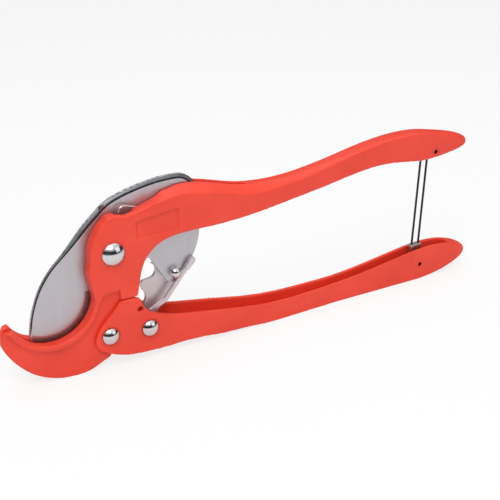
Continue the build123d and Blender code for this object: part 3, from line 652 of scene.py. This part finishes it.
def widen(vert, beside, half):
    """New places of a bevel's vertex and of the one beside it on the face, both moved away from the back."""
    full = ease((vert.co.z / MM - PIVOT_Z - WIDE_FROM_Z) / WIDE_RUN)
    face, back = beside[ON_FACE], beside[ON_BACK]
    step = face.co - back.co
    step.y = 0
    inner = vert.co.lerp(back.co + step * PALE_WIDTH, full)
    inner.y = vert.co.y + full * (math.copysign(half - BEVEL_DROP * MM, vert.co.y) - vert.co.y)
    outer = face.co.lerp(back.co + step * SHADE_BAND_WIDTH, full)
    outer.y = face.co.y
    return {vert: inner, face: outer} if full else {}


maker = bmesh.new()
maker.from_mesh(nodes["blade"].data)
bmesh.ops.remove_doubles(maker, verts=maker.verts, dist=WELD)
bmesh.ops.dissolve_limit(maker, angle_limit=FLAT, verts=maker.verts, edges=maker.edges)
plate_half = max(vert.co.y for vert in maker.verts)
bevel = bmesh.ops.bevel(maker, geom=back_edges(maker), offset=BEVEL * MM, offset_type="OFFSET", segments=2,
                        profile=0.5, affect="EDGES", clamp_overlap=False)
rows = {vert: bevel_row(vert, plate_half) for vert in bevel["verts"]}
# Faces next to the plate's face take the painted shade; the rest of the bevel is the pale back
for face in bevel["faces"]:
    face.material_index = SHADE_BAND_INDEX if any(rows.get(vert) == ON_FACE for vert in face.verts) else PALE_INDEX
moves = {}
for vert, kind in rows.items():
    beside = {rows.get(edge.other_vert(vert)): edge.other_vert(vert) for edge in vert.link_edges}
    if kind == IN_BEVEL and ON_FACE in beside and ON_BACK in beside:
        moves.update(widen(vert, beside, plate_half))
for vert, target in moves.items():
    vert.co = target
blade_mesh = bpy.data.meshes.new("blade_ground")
maker.to_mesh(blade_mesh)
maker.free()
for finish in BLADE_FINISHES:
    blade_mesh.materials.append(finish)
add_object("blade_ground", blade_mesh, "blade", "blade_steel", "blade")

# Studio: pale floor that the camera sees as nearly white, soft light from above and the near left
FLOOR_SIZE, FLOOR_GLOW = 12, 0.8
floor_mat, floor_tree, floor_shader = material("studio_floor")
cloudy = stretched(floor_tree, (1, 1, 1), Scale=3.0, Detail=2.0)
floor_tree.links.new(ramp(floor_tree, cloudy, [(0.2, grey(0.86)), (0.8, grey(0.88))]),
                     floor_shader.inputs["Base Color"])
floor_shader.inputs["Roughness"].default_value = 0.9
glow = put(floor_tree, "ShaderNodeEmission", Strength=1.0)
glow.inputs["Color"].default_value = (1, 1, 1, 1)
share = put(floor_tree, "ShaderNodeMath", operation="MULTIPLY")
share.inputs[1].default_value = FLOOR_GLOW
floor_path = put(floor_tree, "ShaderNodeLightPath")
floor_tree.links.new(floor_path.outputs["Is Camera Ray"], share.inputs[0])
floor_mix = put(floor_tree, "ShaderNodeMixShader")
floor_tree.links.new(share.outputs[0], floor_mix.inputs[0])
floor_tree.links.new(floor_shader.outputs[0], floor_mix.inputs[1])
floor_tree.links.new(glow.outputs[0], floor_mix.inputs[2])
floor_tree.links.new(floor_mix.outputs[0], floor_tree.nodes["Material Output"].inputs["Surface"])
bpy.ops.mesh.primitive_plane_add(size=FLOOR_SIZE, location=(0, 0, 0))
floor = bpy.context.object
floor.name = "studio_floor"
floor.data.materials.append(floor_mat)

# World: an even light for matt surfaces, white to the camera, and for polished steel a dark room between
# the floor and the soft boxes, by the height that a ray looks to
WORLD_LIGHT = 0.5
ROOM = [(0.0, grey(0.16)), (0.06, grey(0.03)), (0.34, grey(0.03)), (0.5, grey(0.45)), (0.66, grey(0.9))]
world = bpy.data.worlds.new("studio")
bpy.context.scene.world = world
world.use_nodes = True
sky = world.node_tree
sky_out = sky.nodes["World Output"]
plain = sky.nodes["Background"]
plain.inputs["Color"].default_value = (1, 1, 1, 1)
plain.inputs["Strength"].default_value = WORLD_LIGHT
direction = put(sky, "ShaderNodeTexCoord")
parts = put(sky, "ShaderNodeSeparateXYZ")
sky.links.new(direction.outputs["Generated"], parts.inputs["Vector"])
room = put(sky, "ShaderNodeBackground", Strength=1.0)
sky.links.new(ramp(sky, parts.outputs["Z"], ROOM), room.inputs["Color"])
white = put(sky, "ShaderNodeBackground", Strength=1.0)
white.inputs["Color"].default_value = (1, 1, 1, 1)
path = put(sky, "ShaderNodeLightPath")
gloss = put(sky, "ShaderNodeMixShader")
seen = put(sky, "ShaderNodeMixShader")
sky.links.new(path.outputs["Is Glossy Ray"], gloss.inputs[0])
sky.links.new(plain.outputs[0], gloss.inputs[1])
sky.links.new(room.outputs[0], gloss.inputs[2])
sky.links.new(path.outputs["Is Camera Ray"], seen.inputs[0])
sky.links.new(gloss.outputs[0], seen.inputs[1])
sky.links.new(white.outputs[0], seen.inputs[2])
sky.links.new(seen.outputs[0], sky_out.inputs["Surface"])


def area_light(name, place, aim, size, power):
    """Soft box at a place in metres, turned to what it lights, with its power in watts."""
    data = bpy.data.lights.new(name, "AREA")
    data.shape = "RECTANGLE"
    data.size, data.size_y = size
    data.energy = power
    lamp = bpy.data.objects.new(name, data)
    lamp.location = place
    lamp.rotation_euler = (Vector(aim) - Vector(place)).to_track_quat("-Z", "Y").to_euler()
    bpy.context.scene.collection.objects.link(lamp)


area_light("key", place=(-0.5, -0.7, 1.3), aim=(0, 0, 0.05), size=(1.0, 0.7), power=12)
area_light("fill", place=(0.9, -1.1, 0.7), aim=(0, 0, 0.08), size=(1.0, 0.8), power=2.6)
area_light("top", place=(0.1, 0.3, 1.4), aim=(0, 0, 0.05), size=(1.4, 0.8), power=5)

camera = bpy.data.objects.new("camera", bpy.data.cameras.new("camera"))
camera.location = CAMERA
camera.rotation_euler = (TARGET - CAMERA).to_track_quat("-Z", "Y").to_euler()
camera.data.lens = LENS
camera.data.sensor_width = SENSOR
bpy.context.scene.collection.objects.link(camera)
bpy.context.scene.camera = camera
bpy.context.scene.view_settings.view_transform = "Standard"
